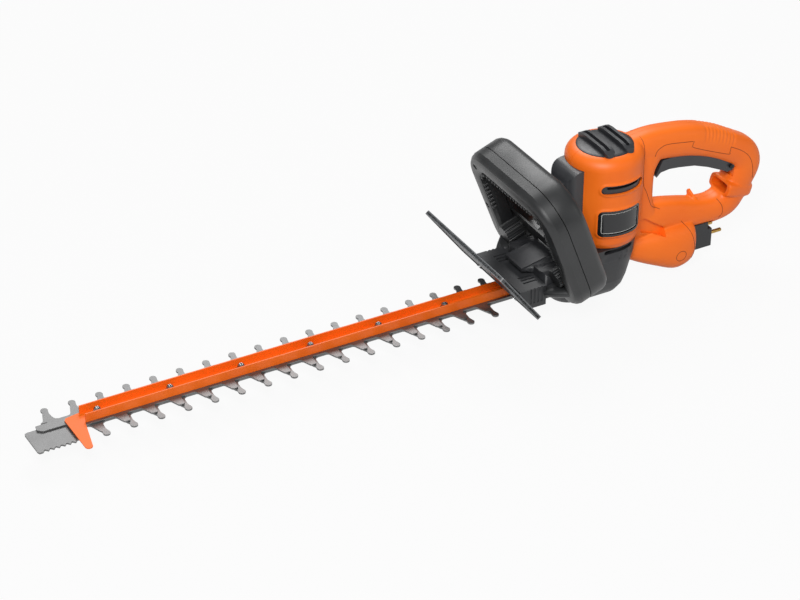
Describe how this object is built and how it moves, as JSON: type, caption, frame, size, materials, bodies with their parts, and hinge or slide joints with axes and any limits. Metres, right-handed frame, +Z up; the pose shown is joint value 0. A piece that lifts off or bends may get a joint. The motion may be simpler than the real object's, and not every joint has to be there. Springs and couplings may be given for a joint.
{
  "type": "electric hedge trimmer",
  "caption": "Electric hedge trimmer with two reciprocating toothed blades on a steel bar, a saw tip, a hand guard, a bail handle and a rear D-handle.",
  "frame": {"origin": "the flat foot of the gear case, on the axis of the motor", "axes": "+X towards the rear handle (the blades point to -X), +Z up along the motor axis, +Y to the user's right seen from the blade tip"},
  "size_m": [0.9674, 0.19, 0.205],
  "materials": {
    "blade_steel": "ground, lightly worn",
    "orange_steel": "gloss powder coat",
    "zinc_steel": "zinc plated",
    "guard_plastic": "smoked, satin",
    "black_plastic": "fine grained",
    "bail_plastic": "satin",
    "case_black": "satin",
    "orange_plastic": "satin moulded",
    "gear_steel": "hobbed, oiled",
    "sintered": "sintered",
    "bronze": "sintered bronze",
    "lamination": "stacked sheet",
    "copper": "enamelled wire",
    "brass": "bright",
    "carbon": "carbon",
    "badge": "plain"
  },
  "bodies": {
    "machine_body": {"blade_bar": "orange_steel", "bar_screws": "zinc_steel", "guide_sleeves": "zinc_steel", "bar_washers": "zinc_steel", "bar_nuts": "zinc_steel", "hand_guard": "guard_plastic", "guard_bracket": "case_black", "guard_screws": "zinc_steel", "gear_case": "case_black", "gear_case_cover": "case_black", "cover_screws": "zinc_steel", "axle_bushes": "bronze", "lower_bearing": "zinc_steel", "upper_bearing": "zinc_steel", "field_core": "lamination", "field_coils": "copper", "brush_holders": "brass", "carbon_brushes": "carbon", "brush_springs": "zinc_steel", "housing_left": "orange_plastic", "housing_right": "orange_plastic", "housing_screws": "zinc_steel", "top_cap": "black_plastic", "front_cover": "black_plastic", "vent_inserts": "black_plastic", "name_badge": "badge", "bail_rear_shell": "bail_plastic", "bail_front_shell": "bail_plastic", "bail_screws": "zinc_steel", "front_lever_springs": "zinc_steel", "front_switch": "black_plastic", "trigger_pin": "zinc_steel", "trigger_spring": "zinc_steel", "trigger_switch": "black_plastic", "inlet_block": "black_plastic", "inlet_pins": "brass"},
    "upper_knife": {"upper_blade": "blade_steel"},
    "lower_knife": {"lower_blade": "blade_steel"},
    "eccentric_drive": {"drive_gear": "gear_steel", "upper_eccentric": "sintered", "lower_eccentric": "sintered", "gear_axle": "gear_steel"},
    "rotor": {"armature_shaft": "gear_steel", "armature_core": "lamination", "armature_windings": "copper", "commutator": "copper", "cooling_fan": "black_plastic"},
    "rear_trigger": {"trigger": "black_plastic"},
    "bail_lever": {"front_switch_lever": "black_plastic"}
  },
  "joints": [
    {"name": "upper_blade_slide", "type": "slide", "parent": "machine_body", "child": "upper_knife", "axis": [1, 0, 0], "range_m": [-0.0055, 0.0105]},
    {"name": "lower_blade_slide", "type": "slide", "parent": "machine_body", "child": "lower_knife", "axis": [1, 0, 0], "range_m": [-0.0105, 0.0055]},
    {"name": "drive_spin", "type": "hinge", "parent": "machine_body", "child": "eccentric_drive", "pos_m": [-0.04, 0, 0.041], "axis": [0, 0, 1], "continuous": true},
    {"name": "rotor_spin", "type": "hinge", "parent": "machine_body", "child": "rotor", "pos_m": [0, 0, 0.1], "axis": [0, 0, 1], "continuous": true},
    {"name": "trigger_pull", "type": "hinge", "parent": "machine_body", "child": "rear_trigger", "pos_m": [0.176, 0, 0.124], "axis": [0, 1, 0], "range_deg": [0, 4], "stiffness_Nm_per_rad": 3, "springref_deg": -5.73, "deforming": ["trigger_spring"]},
    {"name": "lever_squeeze", "type": "slide", "parent": "machine_body", "child": "bail_lever", "axis": [-0.3584, 0, 0.9336], "range_m": [0, 0.004], "stiffness_N_per_m": 1500, "springref_m": -0.004, "deforming": ["front_lever_springs"]}
  ],
  "couplings": [
    {"joint": "lower_blade_slide", "follows": "upper_blade_slide", "ratio": -1},
    {"joint": "rotor_spin", "follows": "drive_spin", "ratio": -7}
  ]
}
